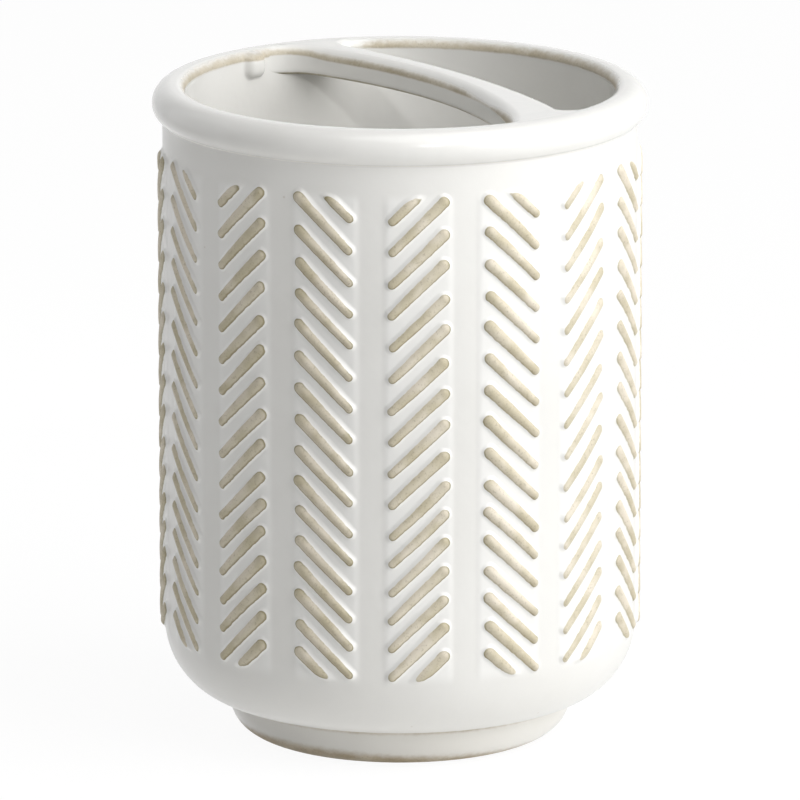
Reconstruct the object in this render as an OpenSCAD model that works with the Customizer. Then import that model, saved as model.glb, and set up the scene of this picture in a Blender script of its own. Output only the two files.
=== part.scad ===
// Stoneware toothbrush holder: a straight cup on a turned foot, with a rolled rim, a curved bar
// that divides the mouth in two, and sixteen columns of slanted raised bars in a herringbone.
// It stands on the plane Z = 0 with its axis on Z. The dividing bar runs along X, and the
// smaller mouth is on the +Y side.

/* [Cup] */
// Height from the table to the top of the rim
overall_height = 110; // [100:1:125]
// Diameter of the plain wall between the columns
body_diameter = 78.6; // [74:0.2:84]
// Thickness of the wall
wall_thickness = 3.7; // [3.2:0.1:5]
// Thickness of the floor above the seat of the foot
floor_thickness = 3.5; // [3:0.1:6]
// Radius of the upper curve of the heel
heel_upper_radius = 13; // [11:0.1:16]
// Radius of the lower curve of the heel
heel_lower_radius = 10.4; // [9:0.1:11]
// Radius inside, between the floor and the wall
cavity_corner_radius = 9; // [6:0.5:11]

/* [Rim] */
// How far the rim stands out past the wall
rim_overhang = 1.7; // [1:0.1:2.4]
// Radius of the rim's outer edge above its widest line
rim_upper_radius = 3.3; // [2.6:0.1:3.5]
// Radius of the rim's outer edge below its widest line
rim_lower_radius = 2.65; // [2.2:0.05:3.2]
// Radius of the rim's inner edge
rim_inner_radius = 1.6; // [0.8:0.1:1.6]

/* [Dividing bar] */
// Width of the bar at its middle
divider_width = 5.4; // [4.4:0.1:6.6]
// Depth of the bar from top to underside
divider_depth = 4.5; // [3.6:0.1:8]
// How far the bar's top lies below the rim's top
divider_drop = 0.2; // [0.1:0.05:0.6]
// Distance from the cup's axis to the middle of the bar
divider_offset = 11.2; // [8:0.1:13]
// Plan radius of the side towards the larger mouth
divider_front_radius = 80; // [70:1:110]
// Plan radius of the side towards the smaller mouth
divider_rear_radius = 145; // [120:1:170]
// How far the middle of that side's curve lies towards the bar's right end
rear_curve_shift = 8; // [0:0.5:12]
// Rounding of the bar's upper edges
divider_edge_radius = 1.3; // [0.8:0.1:1.6]
// Rounding of the bar's lower edges
divider_under_radius = 0.9; // [0.5:0.1:1.2]
// Corner radius of the larger mouth at the bar's left end
front_left_fillet = 6.5; // [4:0.1:8]
// Corner radius of the larger mouth at the bar's right end
front_right_fillet = 2; // [1.5:0.1:4]
// Corner radius of the smaller mouth at the bar's left end
rear_left_fillet = 1.6; // [1:0.1:4]
// Corner radius of the smaller mouth at the bar's right end
rear_right_fillet = 1.8; // [1.5:0.1:5]

/* [Foot] */
// Outer diameter of the foot
foot_diameter = 57; // [50:0.5:60]
// Height of the foot up to the crease under the heel
foot_height = 6.5; // [6:0.1:8]
// Rounding of the foot's lower outer edge
foot_edge_radius = 5.5; // [3:0.1:5.8]
// Width of the flat ring that rests on the table
foot_rest_width = 4; // [3:0.1:6]
// Depth of the recess under the cup
foot_recess_depth = 4; // [2:0.1:5]

/* [Raised bars] */
// Number of columns round the cup
column_count = 16; // [12:2:18]
// Direction of the first column, counted from the X axis in degrees
first_column_angle = -3.5; // [-20:0.5:20]
// Width of a column
column_width = 9.8; // [8:0.1:11]
// Slope of the bars in degrees
bar_angle = 44; // [36:1:50]
// Height from one bar to the next in the upper rows
upper_pitch = 5.26; // [4.6:0.02:6]
// Height from one bar to the next in the lowest rows
lower_pitch = 4.75; // [4.4:0.05:6]
// Number of steps that use the lower pitch
lower_steps = 5; // [0:1:8]
// Width of a bar's crest at its upper end
bar_upper_width = 1.7; // [1.2:0.05:2]
// Width of a bar's crest at its lower end
bar_lower_width = 1.15; // [0.8:0.05:1.4]
// How far a bar stands out from the wall
bar_height = 0.85; // [0.5:0.05:1.1]
// Slope of a bar's flanks, from square to the wall
bar_draft_angle = 25; // [5:1:30]
// Height of the lowest bars above the table
field_bottom = 18.1; // [17:0.1:24]
// Plain band between the uppermost bars and the rim
field_top_gap = 5.2; // [3:0.1:10]

/* [Hidden] */
$fn = 96;
full_turn = 360;

// Where the heel's two curves meet and end, as angles below the horizontal
heel_split_angle = 44;
heel_end_angle = 76;
// The heel's last point stands this high over the crease above the foot
heel_lift = 0.45;

// Cutting and clipping shapes run this far past what they cut
overrun = 2;
// A bar is built from this far below the wall to this far above its crest, then trimmed
bar_root = 1;
crest_margin = 0.2;
// The round ends of a bar are a little wider than its sides
end_swell_share = 1.04;
// The corner fillets of the mouths end this far below the rounded edge of the bar
fillet_step = 0.3;
// A fillet patch reaches this deep into the bar and the rim that it joins
fillet_root = 0.8;

body_radius = body_diameter / 2;
cavity_radius = body_radius - wall_thickness;
cavity_floor_z = foot_height + floor_thickness;
foot_radius = foot_diameter / 2;
recess_radius = foot_radius - foot_edge_radius - foot_rest_width;

// The heel: one curve tangent to the wall, then a tighter one tangent to the first
heel_drop = (heel_upper_radius - heel_lower_radius) * sin(heel_split_angle);
heel_inset = (heel_upper_radius - heel_lower_radius) * cos(heel_split_angle);
heel_end_z = foot_height + heel_lift;
heel_lower_centre_z = heel_end_z + heel_lower_radius * sin(heel_end_angle);
heel_upper_centre_x = body_radius - heel_upper_radius;
heel_lower_centre_x = heel_upper_centre_x + heel_inset;
heel_end_x = heel_lower_centre_x + heel_lower_radius * cos(heel_end_angle);
heel_top_z = heel_lower_centre_z + heel_drop;

// The rim sits on the wall where its lower roll runs out into it
rim_radius = body_radius + rim_overhang;
rim_widest_z = overall_height - rim_upper_radius;
rim_roll_inset = rim_lower_radius - rim_overhang;
rim_base_z = rim_widest_z - sqrt(pow(rim_lower_radius, 2) - pow(rim_roll_inset, 2));

divider_top_z = overall_height - divider_drop;
divider_bottom_z = divider_top_z - divider_depth;
divider_front_y = divider_offset - divider_width / 2;
divider_rear_y = divider_offset + divider_width / 2;
front_centre = [0, divider_front_y - divider_front_radius];
rear_centre = [
    rear_curve_shift,
    divider_rear_y - sqrt(pow(divider_rear_radius, 2) - pow(rear_curve_shift, 2))
];

// The bars: each runs between two round ends, and the lowest row stands on the field's edge
bar_run = column_width - (bar_upper_width + bar_lower_width) / 2;
bar_rise = bar_run * tan(bar_angle);
bar_length = bar_run / cos(bar_angle);
bar_taper_angle = atan((bar_upper_width - bar_lower_width) / 2 / bar_length);
crest_radius = body_radius + bar_height;
field_top = rim_base_z - field_top_gap;
first_row_z = field_bottom + bar_lower_width / 2;
last_row_limit_z = field_top - bar_rise - bar_upper_width / 2;
upper_rows = floor((last_row_limit_z - first_row_z - lower_steps * lower_pitch) / upper_pitch);
row_count = lower_steps + upper_rows + 1;

glaze_colour = [0.95, 0.95, 0.94];
foot_colour = [0.93, 0.90, 0.84];
clay_colour = [0.77, 0.70, 0.57];

function column_name(i) = str("rib_column_", i < 10 ? "0" : "", i);
function column_angle(i) = first_column_angle + (i - 1) * full_turn / column_count;

// Height of the lower end of a row, where row -1 is the cut one below the first
function row_z(row) =
    first_row_z + lower_pitch * min(row, lower_steps) + upper_pitch * max(row - lower_steps, 0);

// Unit vector from one point to another
function heading(from, to) = (to - from) / norm(to - from);

// Block whose two corners on the Y axis are rounded
module round_sided_block(width, height, upper_radius, lower_radius) {
    translate([0, lower_radius])
        square([width, height - upper_radius - lower_radius]);
    translate([upper_radius, height - upper_radius])
        square([width - upper_radius, upper_radius]);
    translate([lower_radius, 0])
        square([width - lower_radius, lower_radius]);
    translate([upper_radius, height - upper_radius])
        circle(r = upper_radius);
    translate([lower_radius, lower_radius])
        circle(r = lower_radius);
}

// Outline of the cup in section, from the crease over the foot to the seat of the rim. The
// first shape has the wall and the heel's upper curve, and the second has its lower curve.
module body_outline() {
    split_reach = body_radius * [cos(heel_split_angle), -sin(heel_split_angle)];
    intersection() {
        union() {
            translate([0, heel_top_z])
                square([body_radius, rim_base_z - heel_top_z]);
            square([heel_upper_centre_x, rim_base_z]);
            translate([heel_upper_centre_x, heel_top_z])
                circle(r = heel_upper_radius);
        }
        union() {
            polygon([
                [0, foot_height],
                [foot_radius, foot_height],
                [heel_end_x, heel_end_z],
                [heel_lower_centre_x, heel_lower_centre_z],
                [heel_lower_centre_x, heel_lower_centre_z] + split_reach,
                [body_diameter, overall_height],
                [0, overall_height]
            ]);
            translate([heel_lower_centre_x, heel_lower_centre_z])
                circle(r = heel_lower_radius);
        }
    }
}

// Section of the hollow inside, open at the top
module cavity_outline() {
    translate([0, cavity_floor_z + cavity_corner_radius])
        square([cavity_radius, overall_height]);
    translate([0, cavity_floor_z])
        square([cavity_radius - cavity_corner_radius, overall_height]);
    translate([cavity_radius - cavity_corner_radius, cavity_floor_z + cavity_corner_radius])
        circle(r = cavity_corner_radius);
}

// Section of the rim: a full roll outside and a small rounding inside
module rim_outline() {
    intersection() {
        union() {
            translate([0, rim_base_z])
                square([rim_radius, rim_widest_z - rim_base_z]);
            translate([0, rim_base_z])
                square([rim_radius - rim_upper_radius, overall_height - rim_base_z]);
            translate([rim_radius - rim_upper_radius, rim_widest_z])
                circle(r = rim_upper_radius);
        }
        union() {
            translate([0, rim_widest_z])
                square([rim_radius, overall_height]);
            translate([0, rim_base_z])
                square([rim_radius - rim_lower_radius, overall_height]);
            translate([rim_radius - rim_lower_radius, rim_widest_z])
                circle(r = rim_lower_radius);
        }
        union() {
            translate([cavity_radius + rim_inner_radius, rim_base_z])
                square([rim_radius, overall_height]);
            translate([cavity_radius, rim_base_z])
                square([rim_radius, overall_height - rim_inner_radius - rim_base_z]);
            translate([cavity_radius + rim_inner_radius, overall_height - rim_inner_radius])
                circle(r = rim_inner_radius);
        }
    }
}

// Wall, heel and floor, with a boss that fills the foot ring down to the recess
module cast_body() {
    color(glaze_colour)
        rotate_extrude()
            difference() {
                union() {
                    body_outline();
                    translate([0, foot_recess_depth])
                        square([recess_radius, foot_height - foot_recess_depth + floor_thickness / 2]);
                }
                cavity_outline();
            }
}

module rolled_rim() {
    color(glaze_colour)
        rotate_extrude()
            rim_outline();
}

module foot_ring() {
    color(foot_colour)
        rotate_extrude()
            intersection() {
                translate([recess_radius, 0])
                    square([foot_radius - recess_radius, foot_height]);
                union() {
                    square([foot_radius - foot_edge_radius, foot_height]);
                    translate([0, foot_edge_radius])
                        square([foot_radius, foot_height]);
                    translate([foot_radius - foot_edge_radius, foot_edge_radius])
                        circle(r = foot_edge_radius);
                }
            }
}

// Centre of a fillet that touches the cup's wall and one side of the bar. wall_gap and
// side_gap are its distances from the cup's axis and from the centre of that side's curve.
function fillet_centre(wall_gap, side_gap, side_centre, end) =
    let (
        reach = norm(side_centre),
        along = (pow(wall_gap, 2) - pow(side_gap, 2) + pow(reach, 2)) / (2 * reach),
        across = sqrt(pow(wall_gap, 2) - pow(along, 2))
    )
    along * side_centre / reach + end * across * [-side_centre[1], side_centre[0]] / reach;

// Concave corner between the wall and a side of the bar. side is 1 for the smaller mouth and
// -1 for the larger, and end is 1 or -1 for the bar's ends along X.
module corner_fillet(radius, side, end) {
    side_radius = side > 0 ? divider_rear_radius : divider_front_radius;
    side_centre = side > 0 ? rear_centre : front_centre;
    centre = fillet_centre(cavity_radius - radius, side_radius + side * radius, side_centre, end);
    to_wall = heading([0, 0], centre);
    to_bar = side * heading(centre, side_centre);
    depth = radius + fillet_root;
    difference() {
        polygon([
            centre,
            centre + depth * to_wall,
            centre + depth / (1 + to_wall * to_bar) * (to_wall + to_bar),
            centre + depth * to_bar
        ]);
        translate(centre)
            circle(r = radius);
    }
}

// The bar: two curved sides with rounded edges, cut to the rim that it spans, with a concave
// corner at each place where a side meets the wall
module divider_bridge() {
    fillet_height = divider_depth - divider_edge_radius - divider_under_radius - fillet_step;
    color(glaze_colour)
        difference() {
            intersection() {
                union() {
                    intersection() {
                        translate([rear_centre[0], rear_centre[1], divider_bottom_z])
                            rotate_extrude()
                                translate([divider_rear_radius, 0])
                                    mirror([1, 0])
                                        round_sided_block(divider_rear_radius, divider_depth,
                                                          divider_edge_radius, divider_under_radius);
                        translate([front_centre[0], front_centre[1], divider_bottom_z])
                            rotate_extrude()
                                translate([divider_front_radius, 0])
                                    round_sided_block(body_diameter, divider_depth,
                                                      divider_edge_radius, divider_under_radius);
                    }
                    translate([0, 0, divider_bottom_z + divider_under_radius])
                        linear_extrude(fillet_height) {
                            corner_fillet(front_left_fillet, -1, -1);
                            corner_fillet(front_right_fillet, -1, 1);
                            corner_fillet(rear_left_fillet, 1, -1);
                            corner_fillet(rear_right_fillet, 1, 1);
                        }
                }
                translate([0, 0, divider_bottom_z])
                    cylinder(r = cavity_radius + rim_inner_radius, h = divider_depth);
            }
            rotate_extrude()
                rim_outline();
        }
}

// Round end of a bar, wider towards the wall. Z is the distance from the cup's axis.
module bar_end(crest_width) {
    spread = tan(bar_draft_angle);
    translate([0, 0, body_radius - bar_root])
        cylinder(
            h = bar_root + bar_height + crest_margin,
            r1 = end_swell_share * crest_width / 2 + (bar_root + bar_height) * spread,
            r2 = end_swell_share * crest_width / 2 - crest_margin * spread
        );
}

// Straight stretch of a bar along X, with sloping flanks that part towards its upper end
module bar_shank() {
    difference() {
        translate([0, -column_width / 2, body_radius - bar_root])
            cube([bar_length, column_width, bar_root + bar_height + crest_margin]);
        for (side = [0, 1])
            mirror([0, side, 0])
                translate([0, bar_lower_width / 2, crest_radius])
                    rotate([bar_draft_angle, 0, bar_taper_angle])
                        translate([-bar_length, 0, -column_width])
                            cube([3 * bar_length, column_width, 2 * column_width]);
    }
}

// A bar that rises to the right, with its lower end at the height of its row
module raised_bar(row) {
    translate([-(column_width - bar_lower_width) / 2, row_z(row), 0])
        rotate([0, 0, bar_angle]) {
            bar_shank();
            bar_end(bar_lower_width);
            translate([bar_length, 0, 0])
                bar_end(bar_upper_width);
        }
}

// The rows at the two ends of a column are cut off by the edge of the field
module cut_bar(row) {
    intersection() {
        raised_bar(row);
        translate([-column_width, field_bottom, 0])
            cube([2 * column_width, field_top - field_bottom, crest_radius + overrun]);
    }
}

// One column of raised bars, trimmed to their crest and to the wall that they grow from. Odd
// columns lean the other way.
module rib_column(i) {
    color(clay_colour)
        difference() {
            intersection() {
                rotate([0, 0, column_angle(i)])
                    mirror([0, i % 2, 0])
                        rotate([90, 0, 90]) {
                            for (row = [0 : row_count - 1])
                                raised_bar(row);
                            cut_bar(-1);
                            cut_bar(row_count);
                        }
                cylinder(r = crest_radius, h = overall_height);
            }
            rotate_extrude()
                body_outline();
        }
}

cast_body();
rolled_rim();
divider_bridge();
foot_ring();
for (i = [1 : column_count])
    rib_column(i);
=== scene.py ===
import random
from math import atan2, cos, pi, radians, sin

import bmesh
import bpy
import numpy as np
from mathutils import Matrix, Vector


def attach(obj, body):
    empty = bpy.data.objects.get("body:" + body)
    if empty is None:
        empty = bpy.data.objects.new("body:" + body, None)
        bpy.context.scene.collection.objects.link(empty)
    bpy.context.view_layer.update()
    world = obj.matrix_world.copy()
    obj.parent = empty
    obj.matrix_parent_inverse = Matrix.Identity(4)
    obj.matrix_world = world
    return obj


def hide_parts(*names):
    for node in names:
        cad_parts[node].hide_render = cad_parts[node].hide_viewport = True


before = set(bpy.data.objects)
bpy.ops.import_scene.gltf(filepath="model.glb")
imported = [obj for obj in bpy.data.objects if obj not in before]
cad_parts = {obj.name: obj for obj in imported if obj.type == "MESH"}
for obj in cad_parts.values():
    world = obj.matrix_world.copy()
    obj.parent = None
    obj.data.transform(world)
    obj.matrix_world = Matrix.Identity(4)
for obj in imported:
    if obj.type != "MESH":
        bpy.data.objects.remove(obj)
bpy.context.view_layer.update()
mm = 0.001
weldDistance = 2e-6        # in metres
smoothAngle = 38.0         # faces that meet at less than this shade as one surface
scene = bpy.context.scene
print("frame loaded:", len(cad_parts), "nodes")


# the cup's own sizes in millimetres, the same as in the solids
cup = {
    "height": 110.0,
    "wallRadius": 39.3,
    "insideRadius": 35.6,
    "floorHeight": 10.0,
    "insideCorner": 9.0,
    "heelUpper": (26.3, 18.847, 13.0),     # centre radius, centre height, radius
    "heelLower": (28.17, 17.041, 10.4),
    "heelSplit": 44.0,
    "heelEnd": 76.0,
    "rimBase": 104.226,
    "recessDepth": 4.0,
    "skinDepth": 0.6,                      # thickness of the relief panels
    "segments": 512,                       # steps round the cup
}

camera = {
    "target": (0.0, 0.0, 55.95),
    "distance": 1637.0,
    "elevation": 13.64,
    "towards": (0.8625, -0.506),           # from the cup to the camera, in plan
    "focal": 442.68,
    "sensor": 36.0,
    "clip": (0.05, 30.0),                  # in metres
}


def addCamera():
    data = bpy.data.cameras.new("photoCamera")
    data.lens = camera["focal"]
    data.sensor_width = camera["sensor"]
    data.clip_start, data.clip_end = camera["clip"]
    obj = bpy.data.objects.new("photoCamera", data)
    scene.collection.objects.link(obj)
    tilt = radians(camera["elevation"])
    plan = Vector((*camera["towards"], 0)).normalized()
    away = plan * cos(tilt) + Vector((0, 0, sin(tilt)))
    obj.location = (Vector(camera["target"]) + away * camera["distance"]) * mm
    obj.rotation_euler = (-away).to_track_quat("-Z", "Y").to_euler()
    scene.camera = obj


addCamera()
print("camera placed")


# small helpers for the node trees
def addNode(tree, kind, **settings):
    node = tree.nodes.new(kind)
    for key, value in settings.items():
        setattr(node, key, value)
    return node


def feed(tree, socket, value):
    if isinstance(value, bpy.types.NodeSocket):
        tree.links.new(value, socket)
    elif value is not None:
        socket.default_value = value


def mathNode(tree, operation, first, second=None, third=None, clamp=False):
    node = addNode(tree, "ShaderNodeMath", operation=operation, use_clamp=clamp)
    for socket, value in zip(node.inputs, (first, second, third)):
        feed(tree, socket, value)
    return node.outputs[0]


def noiseNode(tree, vector, scale, detail, roughness=0.5):
    node = addNode(tree, "ShaderNodeTexNoise")
    node.inputs["Scale"].default_value = scale
    node.inputs["Detail"].default_value = detail
    node.inputs["Roughness"].default_value = roughness
    feed(tree, node.inputs["Vector"], vector)
    return node.outputs["Fac"]


def rangeNode(tree, value, low, high, toLow=0.0, toHigh=1.0):
    node = addNode(tree, "ShaderNodeMapRange", interpolation_type="SMOOTHSTEP")
    for label, item in (("Value", value), ("From Min", low), ("From Max", high),
                        ("To Min", toLow), ("To Max", toHigh)):
        feed(tree, node.inputs[label], item)
    return node.outputs["Result"]


def mixColors(tree, factor, first, second):
    node = addNode(tree, "ShaderNodeMix", data_type="RGBA")
    feed(tree, node.inputs["Factor"], factor)
    feed(tree, node.inputs["A"], first)
    feed(tree, node.inputs["B"], second)
    return node.outputs["Result"]


def fieldNode(tree, name):
    return addNode(tree, "ShaderNodeAttribute", attribute_name=name).outputs["Fac"]


# a shader node group whose sockets are given as (label, kind)
def newGroup(name, inputs, outputs):
    tree = bpy.data.node_groups.new(name, "ShaderNodeTree")
    for way, sockets in (("INPUT", inputs), ("OUTPUT", outputs)):
        for label, kind in sockets:
            tree.interface.new_socket(name=label, in_out=way, socket_type="NodeSocket" + kind)
    return tree, addNode(tree, "NodeGroupInput").outputs, addNode(tree, "NodeGroupOutput").inputs


# the fired glaze; a noise is given as scale and detail, an edge as the range where it turns
glaze = {
    "ior": 1.5,
    "coatRoughness": 0.09,
    "bump": 0.12,
    "cloud": (42, 3),
    "cloudEdge": (0.2, 0.8),
    "dullness": (-0.02, 0.05),             # added to the roughness, clear and clouded
    "ripple": (170, 2),
    "rippleHeight": 0.75,
    "peel": (620, 2),
    "peelHeight": 0.12,
    "pitScale": 260,
    "pitEdge": (0.03, 0.075),
    "pitDepth": 0.35,
    "pitShade": 0.35,
    "pitColor": (0.52, 0.46, 0.36, 1),
    "rare": (95, 1),                       # leaves pinholes in a few places only
    "rareEdge": (0.62, 0.68),
}


# soft clouds, a slow ripple and a few pinholes in the fired glaze
def makeGlazeFlow():
    tree, given, result = newGroup(
        "glazeFlow", [("Vector", "Vector"), ("Clear", "Color"), ("Clouded", "Color")],
        [("Color", "Color"), ("Ripple", "Float"), ("Dullness", "Float")])
    where = given["Vector"]
    cloud = noiseNode(tree, where, *glaze["cloud"])
    ripple = noiseNode(tree, where, *glaze["ripple"])
    peel = noiseNode(tree, where, *glaze["peel"])
    pits = addNode(tree, "ShaderNodeTexVoronoi")
    pits.inputs["Scale"].default_value = glaze["pitScale"]
    feed(tree, pits.inputs["Vector"], where)
    pit = rangeNode(tree, pits.outputs["Distance"], *glaze["pitEdge"], 1.0, 0.0)
    rare = rangeNode(tree, noiseNode(tree, where, *glaze["rare"]), *glaze["rareEdge"])
    pit = mathNode(tree, "MULTIPLY", pit, rare)
    clouded = rangeNode(tree, cloud, *glaze["cloudEdge"])
    color = mixColors(tree, clouded, given["Clear"], given["Clouded"])
    shade = mathNode(tree, "MULTIPLY", pit, glaze["pitShade"])
    color = mixColors(tree, shade, color, glaze["pitColor"])
    height = mathNode(tree, "MULTIPLY", peel, glaze["peelHeight"])
    height = mathNode(tree, "MULTIPLY_ADD", ripple, glaze["rippleHeight"], height)
    depth = mathNode(tree, "MULTIPLY", pit, glaze["pitDepth"])
    feed(tree, result["Color"], color)
    feed(tree, result["Ripple"], mathNode(tree, "SUBTRACT", height, depth))
    feed(tree, result["Dullness"],
         rangeNode(tree, cloud, *glaze["cloudEdge"], *glaze["dullness"]))
    return tree


# the dry clay where the glaze has run thin, with patches, specks and a dark edge that is partly
# stain and partly painted shade
bareClay = {
    "wander": (900, 2),
    "patches": (190, 2, 0.55),
    "patchEdge": (0.32, 0.66),
    "grain": (2600, 3, 0.65),
    "darkSpecks": (0.54, 0.70, 0.0, 0.36),     # range of the grain, and strength at its ends
    "darkSpeckColor": (0.27, 0.21, 0.12, 1),
    "paleSpecks": (0.42, 0.30, 0.0, 0.35),
    "paleSpeckColor": (0.80, 0.74, 0.63, 1),
    # the dark edge is partly stain and partly painted shade; on the relief a field sets its
    # strength
    "edge": (0.0, 0.34, 1.0, 0.3),             # range of the distance, and strength at its ends
    "edgeShadeColor": (0.25, 0.21, 0.095, 1),
    "plainStainAndShade": 0.2,                         # for a piece that has no stain and painted shade of its own
}


# mask and colour of the clay from a distance in millimetres, more than zero on bare clay
def makeClayBreak():
    tree, given, result = newGroup(
        "clayBreak",
        [("Vector", "Vector"), ("Clay", "Float"), ("Softness", "Float"),
         ("Raggedness", "Float"), ("StainAndShade", "Float"), ("Dark", "Color"), ("Pale", "Color")],
        [("Mask", "Float"), ("Color", "Color"), ("Grain", "Float")])
    where = given["Vector"]
    wander = mathNode(tree, "SUBTRACT", noiseNode(tree, where, *bareClay["wander"]), 0.5)
    distance = mathNode(tree, "MULTIPLY_ADD", wander, given["Raggedness"], given["Clay"])
    low = mathNode(tree, "MULTIPLY", given["Softness"], -1.0)
    patches = noiseNode(tree, where, *bareClay["patches"])
    grain = noiseNode(tree, where, *bareClay["grain"])
    pale = rangeNode(tree, patches, *bareClay["patchEdge"])
    color = mixColors(tree, pale, given["Dark"], given["Pale"])
    for specks in ("dark", "pale"):
        strength = rangeNode(tree, grain, *bareClay[specks + "Specks"])
        color = mixColors(tree, strength, color, bareClay[specks + "SpeckColor"])
    # painted shade and stain darken the clay's edge by the amount given
    edge = mathNode(tree, "MULTIPLY", rangeNode(tree, distance, *bareClay["edge"]),
                    given["StainAndShade"])
    color = mixColors(tree, edge, color, bareClay["edgeShadeColor"])
    feed(tree, result["Mask"], rangeNode(tree, distance, low, given["Softness"]))
    feed(tree, result["Color"], color)
    feed(tree, result["Grain"], grain)
    return tree


glazeFlow = makeGlazeFlow()
clayBreak = makeClayBreak()


# the colour, roughness, height and coat of a glaze that breaks to clay by the clay field
def breakToClay(tree, where, look, color, roughness, height):
    clay = look["clay"]
    bare = addNode(tree, "ShaderNodeGroup", node_tree=clayBreak)
    feed(tree, bare.inputs["Vector"], where)
    feed(tree, bare.inputs["Clay"], fieldNode(tree, "clay"))
    for label in ("Softness", "Raggedness", "Dark", "Pale"):
        bare.inputs[label].default_value = clay[label.lower()]
    # the relief carries its own painted shade and stain in a field; other pieces get a faint
    # even amount
    stainAndShade = fieldNode(tree, "stainAndShade") if clay.get("stainedAndShaded") else bareClay["plainStainAndShade"]
    feed(tree, bare.inputs["StainAndShade"], stainAndShade)
    mask = bare.outputs["Mask"]
    grain = mathNode(tree, "MULTIPLY", bare.outputs["Grain"], clay["grain"])
    return (mixColors(tree, mask, color, bare.outputs["Color"]),
            mathNode(tree, "MULTIPLY_ADD", mask, clay["dryness"], roughness, clamp=True),
            mathNode(tree, "MULTIPLY_ADD", mask, grain, height),
            mathNode(tree, "MULTIPLY_ADD", mask, -look["coat"], look["coat"]))


# one finish for every piece: glossy glaze, made lighter by a field or broken to dry clay where
# its look says so
def glazedMaterial(name, look):
    material = bpy.data.materials.new(name)
    material.use_nodes = True
    tree = material.node_tree
    tree.nodes.clear()
    where = addNode(tree, "ShaderNodeTexCoord").outputs["Object"]
    flow = addNode(tree, "ShaderNodeGroup", node_tree=glazeFlow)
    feed(tree, flow.inputs["Vector"], where)
    flow.inputs["Clear"].default_value = look["clear"]
    flow.inputs["Clouded"].default_value = look["clouded"]
    color, height = flow.outputs["Color"], flow.outputs["Ripple"]
    roughness = mathNode(tree, "ADD", flow.outputs["Dullness"], look["roughness"])
    coat = look["coat"]
    if "lighterAmongBars" in look:
        color = mixColors(tree, fieldNode(tree, "pool"), color, look["lighterAmongBars"])
    if "clay" in look:
        color, roughness, height, coat = breakToClay(tree, where, look, color, roughness, height)
    bump = addNode(tree, "ShaderNodeBump")
    bump.inputs["Strength"].default_value = glaze["bump"]
    bump.inputs["Distance"].default_value = mm
    feed(tree, bump.inputs["Height"], height)
    shader = addNode(tree, "ShaderNodeBsdfPrincipled")
    shader.inputs["IOR"].default_value = glaze["ior"]
    shader.inputs["Coat Roughness"].default_value = glaze["coatRoughness"]
    feed(tree, shader.inputs["Base Color"], color)
    feed(tree, shader.inputs["Roughness"], roughness)
    feed(tree, shader.inputs["Coat Weight"], coat)
    feed(tree, shader.inputs["Normal"], bump.outputs["Normal"])
    output = addNode(tree, "ShaderNodeOutputMaterial")
    tree.links.new(shader.outputs["BSDF"], output.inputs["Surface"])
    return material


def makePiece(name, mesh, material, node):
    mesh.materials.append(material)
    obj = bpy.data.objects.new(name, mesh)
    scene.collection.objects.link(obj)
    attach(obj, "root")
    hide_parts(node)


# one value for each point of a mesh, which the materials read by its name
def setField(mesh, name, values):
    attribute = mesh.attributes.new(name, "FLOAT", "POINT")
    attribute.data.foreach_set("value", np.asarray(values, dtype=np.float32))


def setClay(mesh, values, limit):
    setField(mesh, "clay", np.clip(values, -limit, limit))


def meshFrom(bm, name):
    mesh = bpy.data.meshes.new(name)
    bm.to_mesh(mesh)
    bm.free()
    return mesh


def readPoints(mesh):
    flat = np.empty(len(mesh.vertices) * 3, dtype=np.float32)
    mesh.vertices.foreach_get("co", flat)
    return flat.reshape(-1, 3).astype(float)


def writePoints(mesh, points):
    mesh.vertices.foreach_set("co", points.astype(np.float32).ravel())
    mesh.update()


# radius, height and direction round the cup, in millimetres and degrees
def aroundCup(points):
    return (np.hypot(points[:, 0], points[:, 1]), points[:, 2],
            np.degrees(np.arctan2(points[:, 1], points[:, 0])))


# the turn from one direction to another, between -180 and 180 degrees
def turnFrom(start, direction):
    return (direction - start + 180) % 360 - 180


def ease(values, low, high):
    share = np.clip((np.asarray(values, dtype=float) - low) / (high - low), 0.0, 1.0)
    return share * share * (3 - 2 * share)


# points of an arc in section, from one angle to another in degrees
def arc(centreRadius, centreHeight, radius, start, end, steps):
    return [(centreRadius + radius * cos(radians(start + (end - start) * k / steps)),
             centreHeight + radius * sin(radians(start + (end - start) * k / steps)))
            for k in range(steps + 1)]


# smooth faces that break only at real corners
def finishShading(bm):
    for face in bm.faces:
        face.smooth = True
    for edge in bm.edges:
        edge.smooth = edge.calc_face_angle(0) < radians(smoothAngle)


# a closed ring or cup from its section, spun about the cup's axis; a ring's section closes
def spinSection(name, section, steps=cup["segments"]):
    bm = bmesh.new()
    corners = [bm.verts.new((radius * mm, 0, height * mm)) for radius, height in section]
    chain = [bm.edges.new(pair) for pair in zip(corners, corners[1:])]
    if section[0][0] > 0:
        chain.append(bm.edges.new((corners[-1], corners[0])))
    bmesh.ops.spin(bm, geom=corners + chain, cent=(0, 0, 0), axis=(0, 0, 1),
                   angle=2 * pi, steps=steps, use_merge=True)
    bmesh.ops.remove_doubles(bm, verts=bm.verts, dist=weldDistance)
    bmesh.ops.recalc_face_normals(bm, faces=bm.faces)
    finishShading(bm)
    return meshFrom(bm, name)


# distance inside a line of painted shade in a crease, drawn in the clay's colour
def creaseShadeDistance(line, radius, height):
    away = np.hypot(radius - line["radius"], height - line["height"])
    return line["clay"] - away * line["fade"]


# one look for the core, the rim and the bar, so that no seam shows between them
cupLook = {"clear": (0.892, 0.885, 0.856, 1), "clouded": (0.855, 0.846, 0.813, 1),
           "roughness": 0.22, "coat": 0.5}


# the core: wall, floor and the ceiling of the recess below
core = {
    "outerRadius": 37.9,
    "insideStops": (40, 70),               # heights at which the inside wall has a ring
    "bossRadius": 19.3,
    "base": (27.8, 7.2),                   # radius and height where it meets the foot
    "steps": {"corner": 24, "upper": 10, "lower": 8},
}


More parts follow.
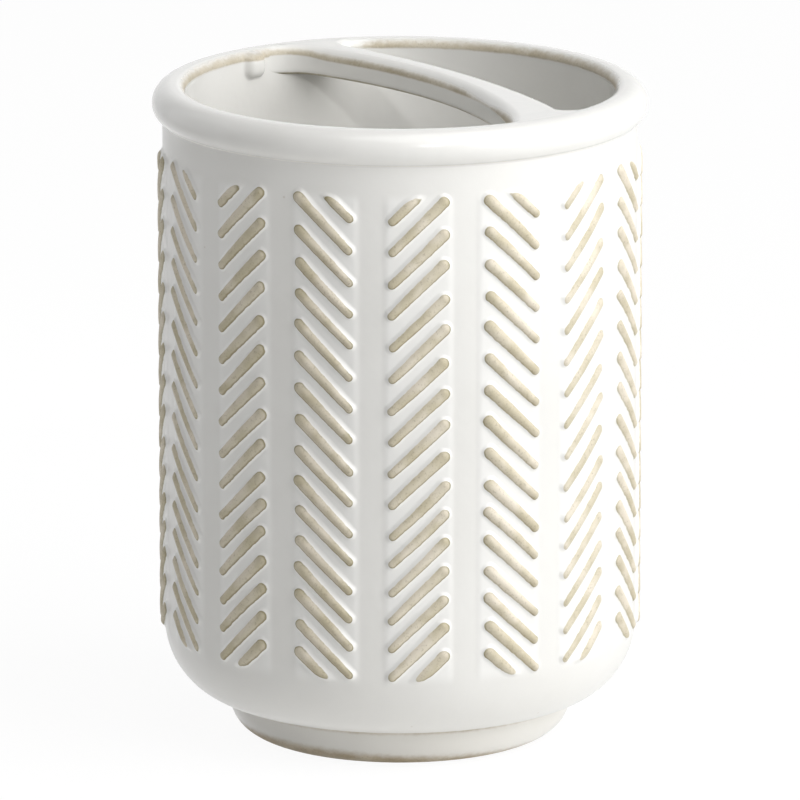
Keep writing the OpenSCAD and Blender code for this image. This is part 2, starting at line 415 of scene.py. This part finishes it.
def makeCore():
    corner, inside = cup["insideCorner"], cup["insideRadius"]
    upper, lower = cup["heelUpper"], cup["heelLower"]
    split, steps = cup["heelSplit"], core["steps"]
    inset = cup["wallRadius"] - core["outerRadius"]
    section = [(0, cup["floorHeight"])]
    section += arc(inside - corner, cup["floorHeight"] + corner, corner, -90, 0,
                   steps["corner"])
    section += [(inside, height) for height in (*core["insideStops"], cup["rimBase"])]
    section += [(core["outerRadius"], cup["rimBase"])]
    section += arc(upper[0], upper[1], upper[2] - inset, 0, -split, steps["upper"])
    section += arc(lower[0], lower[1], lower[2] - inset, -split, -cup["heelEnd"],
                   steps["lower"])
    section += [core["base"], (core["bossRadius"], core["base"][1])]
    section += [(core["bossRadius"], cup["recessDepth"]), (0, cup["recessDepth"])]
    makePiece("cupCore", spinSection("cupCore", section),
              glazedMaterial("insideGlaze", cupLook), "cast_body")


makeCore()
print("core spun")


# the rolled rim: its inner edge breaks to clay, most at the back and the left
rim = {
    "outer": (37.7, 106.7, 3.3, 90, 0, 26),      # centre, radius, two angles and steps
    "lower": (38.35, 106.7, 2.65, -2, -63.15, 16),
    "inner": (37.2, 108.4, 1.6, 180, 90, 18),
    "crease": (39.75, 103.934, 0.45, 116.85, 180, 7),
    "insideTop": 108.1,
    "insideRows": 13,
    "seatStart": (36.2, 104.6),                  # the seat is hidden in the wall
    "seat": [(39.2, 103.5), (38.4, 103.5), (38.4, 104.6)],
    "segments": 768,
    "clayLimit": 2.0,
    "bandMiddle": 10.0,        # place of the clay band on the inner rounding, in degrees
    "bandThin": -0.1,          # half widths of the band
    "bandWide": 0.26,
    "bandFade": 0.26,          # the band fades this much more slowly upwards
    "bandCentre": 155.0,       # the direction from which the four turns below are counted
    "bandGrows": (-108, -88),
    "bandEnds": (82, 112),
    "barBegins": (0, 10),      # the bar covers the band here
    "barEnds": (20, 26),
    "degreesPerMm": 36,        # how the band's angle runs on beyond the rounding
    "creaseFrom": 39.0,
    # a painted shade line in the crease under the rim
    "creaseShadeLine": {"radius": 39.5, "height": 104.33, "clay": 0.14, "fade": 2.5},
    "run": {"direction": 193.0, "middle": 107.5, "halfHeight": 2.3, "halfWidth": 2.2,
            "height": 1.35, "squareness": 3, "steepness": 0.7},
    "look": {**cupLook,
             "clay": {"softness": 0.24, "raggedness": 0.28, "dark": (0.52, 0.455, 0.34, 1),
                      "pale": (0.66, 0.60, 0.49, 1), "dryness": 0.22, "grain": 0.35}},
}


# distance inside a clay band on a rounded edge: crisp below, fading upwards
def bandDistance(angle, radius, half, middle, fade):
    offset = (angle - middle) * pi / 180 * radius
    return half - np.where(offset > 0, offset * fade, -offset)


# half width of the clay band in millimetres, by direction round the cup
def bandWidth(direction):
    turn = turnFrom(rim["bandCentre"], direction)
    strong = ease(turn, *rim["bandGrows"]) * (1 - ease(turn, *rim["bandEnds"]))
    strong *= 1 - ease(turn, *rim["barBegins"]) * (1 - ease(turn, *rim["barEnds"]))
    return rim["bandThin"] + (rim["bandWide"] - rim["bandThin"]) * strong


def rimClay(radius, height, direction):
    middleRadius, middleHeight, rounding = rim["inner"][:3]
    beyond = rim["degreesPerMm"]
    along = np.degrees(np.arctan2(height - middleHeight, middleRadius - radius))
    along = np.where(height < middleHeight, (height - middleHeight) * beyond, along)
    along = np.where(radius > middleRadius, 90 + (radius - middleRadius) * beyond, along)
    band = bandDistance(along, rounding, bandWidth(direction), rim["bandMiddle"],
                        rim["bandFade"])
    # painted shade: a dark line in the crease under the rim
    crease = creaseShadeDistance(rim["creaseShadeLine"], radius, height)
    return np.where(radius > rim["creaseFrom"], crease, band)


# a run of thick glaze on the inside, where the bar's front corner begins
def glazeRun(radius, height, direction):
    run = rim["run"]
    aside = turnFrom(run["direction"], direction) * pi / 180 * cup["insideRadius"]
    rise = (height - run["middle"]) / run["halfHeight"]
    fall = (np.abs(aside / run["halfWidth"]) ** run["squareness"]
            + np.abs(rise) ** run["squareness"])
    swell = np.clip(1 - fall, 0, 1) ** run["steepness"]
    return np.where(radius < rim["inner"][0], swell * run["height"], 0)


def makeRim():
    section = [rim["seatStart"]]
    section += [(cup["insideRadius"], height)
                for height in np.linspace(cup["rimBase"], rim["insideTop"], rim["insideRows"])]
    for part in ("inner", "outer", "lower", "crease"):
        section += arc(*rim[part])
    section += rim["seat"]
    mesh = spinSection("rolledRim", section, rim["segments"])
    points = readPoints(mesh) / mm
    radius, height, direction = aroundCup(points)
    setClay(mesh, rimClay(radius, height, direction), rim["clayLimit"])
    swell = glazeRun(radius, height, direction)
    points[:, :2] *= ((radius - swell) / radius)[:, None]
    writePoints(mesh, points * mm)
    makePiece("rolledRim", mesh, glazedMaterial("rimGlaze", rim["look"]),
              "rolled_rim")


makeRim()
print("rim spun")


# the turned foot, glazed down to a bare resting ring that painted shade raises on its shaded
# side
foot = {
    "outer": (23.0, 5.5, 5.5, -90, 0, 26),       # centre, radius, two angles and steps
    "crease": (28.95, 6.133, 0.45, 180, 101.6, 6),
    "top": [(28.6, 6.95), (18.2, 6.95)],
    "fillet": (18.2, 3.2, 0.8, 90, 0, 6),
    "inner": (19.5, 0.5, 0.5, 180, 270, 5),
    "clayLimit": 3.0,
    "bareAndShadeHeights": (0.7, 2.7),     # least, and most on the shaded side
    "shadedSide": -85.0,             # the shaded side, where painted shade raises the bare ring most
    "recess": (19.4, 1.0),         # glazed inside this radius and above this height
    "recessClay": -2.0,
    "creaseFrom": 27.0,
    # a painted shade line in the crease where the foot meets the heel
    "creaseShadeLine": {"radius": 28.8, "height": 6.45, "clay": 0.7, "fade": 1.9},
    "look": {"clear": (0.88, 0.865, 0.825, 1), "clouded": (0.85, 0.83, 0.78, 1),
             "roughness": 0.31, "coat": 0.3,
             "clay": {"softness": 0.85, "raggedness": 0.8, "dark": (0.50, 0.41, 0.28, 1),
                      "pale": (0.68, 0.60, 0.47, 1), "dryness": 0.3, "grain": 0.5}},
}


def makeFoot():
    section = arc(*foot["outer"]) + arc(*foot["crease"]) + foot["top"]
    section += arc(*foot["fillet"]) + arc(*foot["inner"])
    mesh = spinSection("turnedFoot", section)
    radius, height, direction = aroundCup(readPoints(mesh) / mm)
    # the bare ring is real; it rises towards the shaded side as painted shade
    turn = np.radians(direction) - radians(foot["shadedSide"])
    least, most = foot["bareAndShadeHeights"]
    bare = least + (most - least) * (0.5 + 0.5 * np.cos(turn)) ** 2 - height
    recessRadius, recessStart = foot["recess"]
    bare = np.where((radius < recessRadius) & (height > recessStart), foot["recessClay"], bare)
    # painted shade: a dark line in the crease where the foot meets the heel
    crease = np.maximum(bare, creaseShadeDistance(foot["creaseShadeLine"], radius, height))
    setClay(mesh, np.where(radius > foot["creaseFrom"], crease, bare), foot["clayLimit"])
    makePiece("turnedFoot", mesh, glazedMaterial("footGlaze", foot["look"]),
              "foot_ring")


makeFoot()
print("foot spun")


# the dividing bar, with a concave corner where each side meets the wall
bar = {
    "top": 109.8,
    "depth": 4.75,
    "under": 0.9,                  # rounding of the lower edges
    "front": {"centre": (0.0, -71.5), "radius": 80.0, "side": -1, "left": 6.5, "right": 2.0,
              "edge": 2.2},
    "rear": {"centre": (8.0, -130.879), "radius": 145.0, "side": 1, "left": 1.6, "right": 1.8,
             "edge": 1.3},
    "stations": 200,
    "cornerShare": 0.16,
    "frontSteps": [("under", 6), ("side", 6), ("edge", 18)],
    "topSteps": 12,
    "rearSteps": [("edge", 14), ("side", 5), ("under", 5)],
    "baseSteps": 8,
    "edgeBlend": (29.5, 35.0),     # radii between which its edges become the rim's
    "topBlend": (31.0, 36.6),      # radii between which its top rises to the rim's
    "sunkRows": 2,                 # rows at each end that go into the rim
    "sunkRadius": 37.0,
    "sunkStep": 0.5,
    "sunkSlope": 0.35,
    "sunkEdge": 0.6,               # share of the edge above which it sinks with the top
    "sunkDepths": (0.012, 0.6),
    "clayLimit": 1.0,
    "bandMiddle": 16.0,
    "bandFade": 0.34,
    "sideAngle": 80,               # how the band's angle runs on down the side
    "clayWidths": [(-36, 0.24), (-30, 0.26), (-10, 0.26), (6, 0.22), (12, 0.08), (17, 0.04),
                   (22, 0.2), (29, 0.34), (33, 0.3), (35.5, -0.1)],
    # a painted shadow line under the front's lower edge, fading up the side
    "underShadeBand": {"clay": 0.3, "middle": 0.45, "fade": 1.4, "sideGap": 0.8, "sideFade": 3},
    "look": {**cupLook,
             "clay": {"softness": 0.2, "raggedness": 0.18, "dark": (0.46, 0.40, 0.29, 1),
                      "pale": (0.60, 0.545, 0.44, 1), "dryness": 0.22, "grain": 0.35}},
}


# centre of the corner curve that touches the wall and one side of the bar
def cornerCentre(side, radius, end):
    wallGap = cup["insideRadius"] - radius
    sideGap = side["radius"] + side["side"] * radius
    centre = Vector(side["centre"])
    reach = centre.length
    along = (wallGap ** 2 - sideGap ** 2 + reach ** 2) / (2 * reach)
    across = end * (wallGap ** 2 - along ** 2) ** 0.5
    return (centre * along + Vector((-centre.y, centre.x)) * across) / reach


# plan point and inward direction along one side, for a share from 0 at the left wall to 1
def sidePoint(side, share):
    corner = bar["cornerShare"]
    middle = Vector(side["centre"])
    ends = []
    for end, label in ((-1, "left"), (1, "right")):
        centre = cornerCentre(side, side[label], end)
        toWall = centre.normalized()
        toBar = (middle - centre).normalized() * side["side"]
        ends.append((centre, side[label], toWall, toBar))
    if share < corner or share > 1 - corner:
        centre, radius, toWall, toBar = ends[0 if share < corner else 1]
        part = share / corner if share < corner else (1 - share) / corner
        turn = toWall.angle_signed(toBar) * part
        inward = Vector((toWall.x * cos(-turn) - toWall.y * sin(-turn),
                         toWall.x * sin(-turn) + toWall.y * cos(-turn)))
        return centre + inward * radius, inward
    left = ends[0][0] + ends[0][3] * ends[0][1]
    right = ends[1][0] + ends[1][3] * ends[1][1]
    x = left.x + (right.x - left.x) * (share - corner) / (1 - 2 * corner)
    point = Vector((x, middle.y + (side["radius"] ** 2 - (x - middle.x) ** 2) ** 0.5))
    return point, (middle - point).normalized() * side["side"]


# section of the bar as (blend from front to rear, part, share along that part)
def barSection():
    top, base = bar["topSteps"], bar["baseSteps"]
    section = [(0, part, k / steps) for part, steps in bar["frontSteps"] for k in range(steps)]
    section += [(k / top, "top", 0) for k in range(top + 1)]
    section += [(1, part, 1 - k / steps) for part, steps in bar["rearSteps"]
                for k in range(1, steps + 1)]
    section += [(1 - k / base, "base", 0) for k in range(1, base)]
    return section


# one point of the bar in millimetres, and how round the edge is there: each part lies some
# way in from the side in plan, and at its own height
def barPoint(station, blend, part, along):
    share = min(max(station / bar["stations"], 0.0), 1.0)
    sunk = max(-station, station - bar["stations"], 0)
    front, frontIn = sidePoint(bar["front"], share)
    rear, rearIn = sidePoint(bar["rear"], share)
    reach = float(ease(((front + rear) / 2).length, *bar["edgeBlend"]))
    edges = [side["edge"] + (rim["inner"][2] - side["edge"]) * reach
             for side in (bar["front"], bar["rear"])]
    edge = edges[0] * (1 - blend) + edges[1] * blend
    under, turn = bar["under"], along * pi / 2
    depth = {"under": under * (1 - sin(turn)), "side": 0, "edge": edge * (1 - cos(turn)),
             "top": edge, "base": under}[part]
    plan = (front + frontIn * depth) * (1 - blend) + (rear + rearIn * depth) * blend
    if sunk:
        outward = plan.normalized()
        if part == "top" or (part == "edge" and along > bar["sunkEdge"]):
            deep = bar["sunkRadius"] + bar["sunkStep"] * min(sunk, 1)
            plan = outward * max(plan.length, deep)
        else:
            plan = plan + outward * bar["sunkSlope"] * sunk
    base = bar["top"] - bar["depth"]
    rise = float(ease(plan.length, *bar["topBlend"]))
    top = bar["top"] + (cup["height"] - bar["top"]) * rise
    height = {"under": base + under * (1 - cos(turn)),
              "side": base + under + (top - edge - base - under) * along,
              "edge": top - edge * (1 - sin(turn)), "top": top, "base": base}[part]
    if sunk and part in ("edge", "top"):
        height -= bar["sunkDepths"][sunk - 1]
    return plan.x, plan.y, height, edge


# distance inside the bare clay, which only the front shows; the line under the front edge is
# painted shade in the clay's colour
def barClay(blend, part, along, edge, x):
    clay = -bar["clayLimit"]
    if blend > 0:
        return clay
    if part in ("edge", "top", "side"):
        angle = {"edge": along * 90, "top": 90, "side": (along - 1) * bar["sideAngle"]}[part]
        width = float(np.interp(x, *zip(*bar["clayWidths"])))
        clay = float(bandDistance(angle, edge, width, bar["bandMiddle"], bar["bandFade"]))
    # painted shade: a dark line of clay colour under the front's lower edge, fading up the side
    if part in ("under", "side"):
        band = bar["underShadeBand"]
        away = {"under": abs(along - band["middle"]) * band["fade"],
                "side": band["sideGap"] + along * band["sideFade"]}[part]
        clay = max(clay, band["clay"] - away)
    return clay


def makeBar():
    section = barSection()
    steps = bar["stations"] + 2 * bar["sunkRows"]
    bm = bmesh.new()
    bmesh.ops.create_grid(bm, x_segments=steps, y_segments=len(section), size=1)
    clayLayer = bm.verts.layers.float.new("clay")
    for index, vert in enumerate(bm.verts):
        station, place = index % (steps + 1) - bar["sunkRows"], index // (steps + 1)
        blend, part, along = section[place % len(section)]
        x, y, height, edge = barPoint(station, blend, part, along)
        vert.co = (x * mm, y * mm, height * mm)
        vert[clayLayer] = barClay(blend, part, along, edge, x)
    bmesh.ops.remove_doubles(bm, verts=bm.verts, dist=weldDistance)
    bmesh.ops.holes_fill(bm, edges=[edge for edge in bm.edges if edge.is_boundary], sides=0)
    bmesh.ops.recalc_face_normals(bm, faces=bm.faces)
    finishShading(bm)
    makePiece("dividingBar", meshFrom(bm, "dividingBar"),
              glazedMaterial("barGlaze", bar["look"]), "divider_bridge")


makeBar()
print("dividing bar made")


# the herringbone: one panel of the wall for each column of raised bars
relief = {
    "columns": 16,
    "firstAngle": -3.5,
    "width": 9.8,
    "slope": 44.0,
    "upperPitch": 5.26,
    "lowerPitch": 4.75,
    "lowerSteps": 5,
    "rows": 15,
    "upperWidth": 1.7,
    "lowerWidth": 1.15,
    "height": 0.85,
    "bottom": 18.1,
    "top": 99.026,
    "flank": 0.65,             # how far a bar's side runs out into the glaze
    "roundness": 0.85,         # shape of its section: higher is narrower at the crest
    "trimSharpness": 2,        # of the bars that the top and bottom cut short
    "trimGap": 0.1,
    "trimDepth": -6,           # no point counts as farther than this outside the column
    "clayLimit": 2.0,
    "pool": 0.14,              # the glaze stands this much higher between the bars
    "poolSide": (4.7, 6.1),    # the pool ends here, from the column's middle
    "poolBottom": (-1.4, 1.2),         # from the bottom and the top of the column
    "poolTop": (-1.2, 0.8),
    "ways": {2: (0.1, 0.7, 0.4), 1: (0.45, 0.2, 0.7), 16: (0.0, 0.3, 0.95),
             15: (-0.15, 0.5, 1.5), 14: (-0.2, 0.6, 1.5), 13: (-0.4, 0.5, 0.9),
             3: (-0.2, 0.9, 0.5)},     # shift, lift and painted shade of the columns that show, strongest on those turned from the lamps
    # ranges for the shift, lift and painted shade of the other columns
    "otherWays": ((-0.2, 0.2), (0, 0.4), (0.5, 1.0)),
    "look": {**cupLook, "roughness": 0.32, "coat": 0.25, "lighterAmongBars": (0.94, 0.935, 0.91, 1),
             "clay": {"stainedAndShaded": True, "softness": 0.07, "raggedness": 0.26,
                      "dark": (0.66, 0.595, 0.44, 1), "pale": (0.86, 0.79, 0.665, 1),
                      "dryness": 0.26, "grain": 0.8}},

    # how much one bar differs from the next
    "seed": 500,
    "byHand": {"slope": 0.7, "width": (0.93, 1.08), "across": 0.1, "up": 0.08, "length": 0.12,
               "bow": 0.10},

    # the bare clay is wider on a bar's lower side, and painted shade darkens it there and at
    # both ends
    "crest": {"spread": 0.01, "lowSpread": 0.2, "lowShade": 0.9, "lowPower": 1.5,
              "endShade": 0.4, "ends": (0.36, 0.5), "strongFrom": 0.8, "strongShade": 0.25},

    # a bar is worked out from this far below its start, up to a share of its run and more
    "window": {"below": 3, "share": 1.1, "above": 4},
    "farClay": -3.0,

    # the grid of one panel: fine where the bars are, plain beside and below them
    "grid": {
        "fineSpan": 6.0,
        "fineColumns": 74,
        "plainColumns": 4,
        "fineStep": 0.165,
        "footRows": [(28.3, 6.46, 0.1, -1.0), (29.5, 6.71, 0.2, -1.0)],
        "heelSteps": 14,
        "fineFrom": 16,        # angle on the heel's upper curve where the fine rows begin
        "overTop": 1.3,        # the fine rows end this far above the bars
        "plainGap": 0.3,
        "plainRows": 8,
        "end": 104.5,
    },
}


# a row of the wall on one of the heel's curves: point and outward direction in section
def heelRow(curve, turn):
    return (curve[0] + curve[2] * cos(turn), curve[1] - curve[2] * sin(turn),
            cos(turn), -sin(turn))


# the wall in section from the foot's crease to the rim
def wallRows():
    grid = relief["grid"]
    upper, lower = cup["heelUpper"], cup["heelLower"]
    split, fineFrom, steps = cup["heelSplit"], grid["fineFrom"], grid["heelSteps"]
    rows = list(grid["footRows"])
    for curve, start, end in ((lower, cup["heelEnd"], split), (upper, split, fineFrom)):
        rows += [heelRow(curve, radians(start + (end - start) * k / steps))
                 for k in range(steps)]
    turn = radians(fineFrom)
    while turn > 0:
        rows.append(heelRow(upper, turn))
        turn -= grid["fineStep"] / upper[2]
    height = upper[1]
    while height < relief["top"] + grid["overTop"]:
        rows.append((cup["wallRadius"], height, 1.0, 0.0))
        height += grid["fineStep"]
    for height in np.linspace(height + grid["plainGap"], grid["end"], grid["plainRows"]):
        rows.append((cup["wallRadius"], float(height), 1.0, 0.0))
    return np.array(rows)


def columnPlaces():
    grid = relief["grid"]
    half = pi * cup["wallRadius"] / relief["columns"]
    fine = np.linspace(-grid["fineSpan"], grid["fineSpan"], grid["fineColumns"] + 1)
    plain = np.linspace(grid["fineSpan"], half, grid["plainColumns"] + 1)[1:]
    return np.concatenate([-plain[::-1], fine, plain])


def rowHeight(row):
    steps = relief["lowerSteps"]
    return (relief["bottom"] + relief["lowerWidth"] / 2 + relief["lowerPitch"] * min(row, steps)
            + relief["upperPitch"] * max(row - steps, 0))


def spread(rng, amount):
    return rng.uniform(-amount, amount)


# the top and the bottom of the column cut a bar short, with a soft edge
def trimBar(inside, height):
    sharpness = relief["trimSharpness"]
    limit = np.minimum(height - relief["bottom"] - relief["trimGap"], relief["top"] - height)
    limit = np.maximum(limit, relief["trimDepth"])
    return -np.log(np.exp(-sharpness * inside) + np.exp(-sharpness * limit)) / sharpness


# painted shade on a bar: darker on its lower side and at both ends, scaled by its column, and
# over the whole crest on the strongest columns
def crestShadeTint(strength, low, share):
    crest = relief["crest"]
    ends = ease(np.abs(share - 0.5), *crest["ends"])
    shadeTint = strength * (crest["lowShade"] * low ** crest["lowPower"] + crest["endShade"] * ends)
    return np.clip(shadeTint + crest["strongShade"] * max(strength - crest["strongFrom"], 0), 0, 1)


# bare clay, painted shade and height of the ridge, for places on the wall; the bar that is
# nearest gives the clay and painted shade of a place, and the highest one its ridge
def crestShape(across, height, column):
    rng = random.Random(relief["seed"] + column)
    byHand, crest, window = relief["byHand"], relief["crest"], relief["window"]
    side = 1 if column % 2 == 0 else -1
    drawn = tuple(rng.uniform(*span) for span in relief["otherWays"])
    shift, lift, strength = relief["ways"].get(column, drawn)
    across = (across - shift) * side
    low, high, flank = relief["lowerWidth"], relief["upperWidth"], relief["flank"]
    run = relief["width"] - (low + high) / 2
    best = np.full(across.shape, relief["farClay"])
    stainAndShade, ridge = np.zeros(across.shape), np.zeros(across.shape)
    for row in range(-1, relief["rows"] + 1):
        slope = radians(relief["slope"] + spread(rng, byHand["slope"]))
        wide = rng.uniform(*byHand["width"])
        startX = -(relief["width"] - low) / 2 + spread(rng, byHand["across"])
        startZ = rowHeight(row) + lift + spread(rng, byHand["up"])
        length = (run + spread(rng, byHand["length"])) / cos(slope)
        near = ((height > startZ - window["below"])
                & (height < startZ + run * window["share"] + window["above"]))
        x, z = across[near] - startX, height[near] - startZ
        along = x * cos(slope) + z * sin(slope)
        share = np.clip(along / length, 0, 1)
        bow = spread(rng, byHand["bow"]) * np.sin(share * pi)
        aside = -x * sin(slope) + z * cos(slope) - bow
        width = (low + (high - low) * share) / 2
        inside = width * wide - np.hypot(along - share * length, aside)
        if row in (-1, relief["rows"]):
            inside = trimBar(inside, height[near])
        rise = np.clip((inside + flank) / (width + flank), 0, 1)
        lowSide = 0.5 - 0.5 * np.clip(aside / width, -1, 1)
        bare = inside + crest["spread"] + crest["lowSpread"] * lowSide
        shadeTint = crestShadeTint(strength, lowSide, share)
        stainAndShade[near] = np.where(bare > best[near], shadeTint, stainAndShade[near])
        best[near] = np.maximum(best[near], bare)
        ridge[near] = np.maximum(ridge[near], rise)
    return best, stainAndShade, np.sin(ridge ** relief["roundness"] * pi / 2) ** 2


# the flat grid that every panel starts from, closed at its back
def panelBlank(rows, places):
    bm = bmesh.new()
    bmesh.ops.create_grid(bm, x_segments=len(places) - 1, y_segments=len(rows) - 1, size=1)
    border = [edge for edge in bm.edges if edge.is_boundary]
    sides = bmesh.ops.extrude_edge_only(bm, edges=border)["geom"]
    for edge in border:
        edge.smooth = False
    ring = [item for item in sides if isinstance(item, bmesh.types.BMVert)]
    bmesh.ops.translate(bm, verts=ring, vec=(0, 0, -1))

    # the back is a ladder of faces between its two long sides, which follows the curved wall
    rails = [edge for edge in bm.edges if edge.is_boundary
             and abs(edge.verts[0].co.x + edge.verts[1].co.x) > 1.9999]
    bmesh.ops.bridge_loops(bm, edges=rails)
    ends = bmesh.ops.holes_fill(
        bm, edges=[edge for edge in bm.edges if edge.is_boundary], sides=0)["faces"]
    bmesh.ops.triangulate(bm, faces=ends)
    bmesh.ops.recalc_face_normals(bm, faces=bm.faces)
    for face in bm.faces:
        face.smooth = True
    mesh = meshFrom(bm, "panelBlank")
    flat = readPoints(mesh)
    across = places[np.rint((flat[:, 0] + 1) / 2 * (len(places) - 1)).astype(int)]
    wall = rows[np.rint((flat[:, 1] + 1) / 2 * (len(rows) - 1)).astype(int)]
    return mesh, across, wall, flat[:, 2] < -0.5


# share of the raised and lighter glaze: 1 among the bars, and 0 on the plain strips round them
def poolShare(across, height):
    bottom, top = relief["bottom"], relief["top"]
    share = 1 - ease(np.abs(across), *relief["poolSide"])
    share *= ease(height, *(bottom + step for step in relief["poolBottom"]))
    return share * (1 - ease(height, *(top + step for step in relief["poolTop"])))


# roll a copy of the blank up on the wall and raise the bars of one column
def makePanel(column, blank, material):
    source, across, wall, isBack = blank
    mesh = source.copy()
    mesh.name = "reliefPanel%02d" % column
    wallRadius, wallHeight, outRadius, outHeight = wall.T
    bare, stainAndShade, ridge = crestShape(across, wallHeight, column)
    pool = poolShare(across, wallHeight)
    ground = relief["pool"] * pool
    lift = ground + (relief["height"] - ground) * ridge
    lift = np.where(isBack, -cup["skinDepth"], lift)
    angle = radians(relief["firstAngle"] + (column - 1) * 360 / relief["columns"])
    angle = angle + across / cup["wallRadius"]
    radius = wallRadius + outRadius * lift
    points = np.stack([radius * np.cos(angle), radius * np.sin(angle),
                       wallHeight + outHeight * lift], axis=1)
    writePoints(mesh, points * mm)
    setClay(mesh, np.where(isBack, -relief["clayLimit"], bare), relief["clayLimit"])
    # painted shade and stain of the bars, which the material reads
    setField(mesh, "stainAndShade", stainAndShade)
    setField(mesh, "pool", pool)
    makePiece(mesh.name, mesh, material, "rib_column_%02d" % column)


def makePanels():
    rows = wallRows()
    places = columnPlaces()
    material = glazedMaterial("reliefGlaze", relief["look"])
    blank = panelBlank(rows, places)
    print("panel grid:", len(places), "by", len(rows))
    for column in range(1, relief["columns"] + 1):
        makePanel(column, blank, material)
    bpy.data.meshes.remove(blank[0])


makePanels()
print("relief panels made")


# floor, world and lamps: a white studio with a large soft lamp on the right; lamps in metres
studio = {
    "ambient": 0.12,
    "floorColor": (0.97, 0.97, 0.965, 1),
    "floorWhite": 0.9,             # how much of the floor is plain white to the camera
    "floorGlow": 1.04,
    "floorSize": 8.0,
    "lamps": [
        {"name": "keyLamp", "turn": 63, "tilt": 24, "distance": 1.3, "width": 1.2, "height": 0.9,
         "power": 12.0},
        {"name": "topLamp", "turn": 50, "tilt": 66, "distance": 1.2, "width": 1.3, "height": 1.3,
         "power": 7.8},
        {"name": "leftLamp", "turn": -112, "tilt": 20, "distance": 1.2, "width": 1.0,
         "height": 1.2, "power": 1.6},
    ],
    "lampAim": (0.0, 0.0, 55.0),           # the cup's middle, in millimetres
    "mouthLamp": {"turn": 15, "tilt": 30, "distance": 1.0, "aim": (-20.0, 13.0, 104.0),
                  "cone": 4.6, "softness": 0.045, "power": 13.0},
}


def placeLamp(data, lamp, aim):
    data.energy = lamp["power"]
    obj = bpy.data.objects.new(data.name, data)
    scene.collection.objects.link(obj)
    turn = atan2(camera["towards"][1], camera["towards"][0]) + radians(lamp["turn"])
    tilt = radians(lamp["tilt"])
    away = Vector((cos(turn) * cos(tilt), sin(turn) * cos(tilt), sin(tilt)))
    obj.location = Vector(aim) * mm + away * lamp["distance"]
    obj.rotation_euler = (-away).to_track_quat("-Z", "Y").to_euler()


# the rays that see the studio as white: the camera's and the glaze's reflections
def directRays(tree):
    path = addNode(tree, "ShaderNodeLightPath").outputs
    return mathNode(tree, "MAXIMUM", path["Is Camera Ray"], path["Is Glossy Ray"]), path


def addWorld():
    world = bpy.data.worlds.new("studioWorld")
    scene.world = world
    world.use_nodes = True
    tree = world.node_tree
    tree.nodes.clear()
    seen, path = directRays(tree)
    seen = mathNode(tree, "MAXIMUM", seen, path["Is Transmission Ray"])
    background = addNode(tree, "ShaderNodeBackground")
    background.inputs["Color"].default_value = (1, 1, 1, 1)
    strength = mathNode(tree, "MULTIPLY_ADD", seen, 1 - studio["ambient"], studio["ambient"])
    feed(tree, background.inputs["Strength"], strength)
    output = addNode(tree, "ShaderNodeOutputWorld")
    tree.links.new(background.outputs["Background"], output.inputs["Surface"])


def floorMaterial():
    material = bpy.data.materials.new("floorPaper")
    material.use_nodes = True
    tree = material.node_tree
    tree.nodes.clear()
    seen = mathNode(tree, "MULTIPLY", directRays(tree)[0], studio["floorWhite"])
    paper = addNode(tree, "ShaderNodeBsdfDiffuse")
    paper.inputs["Color"].default_value = studio["floorColor"]
    glow = addNode(tree, "ShaderNodeEmission")
    glow.inputs["Strength"].default_value = studio["floorGlow"]
    mix = addNode(tree, "ShaderNodeMixShader")
    feed(tree, mix.inputs["Fac"], seen)
    tree.links.new(paper.outputs["BSDF"], mix.inputs[1])
    tree.links.new(glow.outputs["Emission"], mix.inputs[2])
    output = addNode(tree, "ShaderNodeOutputMaterial")
    tree.links.new(mix.outputs["Shader"], output.inputs["Surface"])
    return material


def addFloor():
    bm = bmesh.new()
    bmesh.ops.create_grid(bm, x_segments=4, y_segments=4, size=studio["floorSize"] / 2)
    mesh = meshFrom(bm, "studioFloor")
    mesh.materials.append(floorMaterial())
    floor = bpy.data.objects.new("studioFloor", mesh)
    scene.collection.objects.link(floor)


def addLamps():
    for lamp in studio["lamps"]:
        data = bpy.data.lights.new(lamp["name"], "AREA")
        data.shape = "RECTANGLE"
        data.size = lamp["width"]
        data.size_y = lamp["height"]
        placeLamp(data, lamp, studio["lampAim"])

    # a narrow soft beam into the mouth and on the bar
    lamp = studio["mouthLamp"]
    data = bpy.data.lights.new("mouthLamp", "SPOT")
    data.spot_size = radians(lamp["cone"])
    data.spot_blend = 1.0
    data.shadow_soft_size = lamp["softness"]
    placeLamp(data, lamp, lamp["aim"])


addWorld()
addFloor()
addLamps()
scene.view_settings.view_transform = "Standard"
print("studio lit")
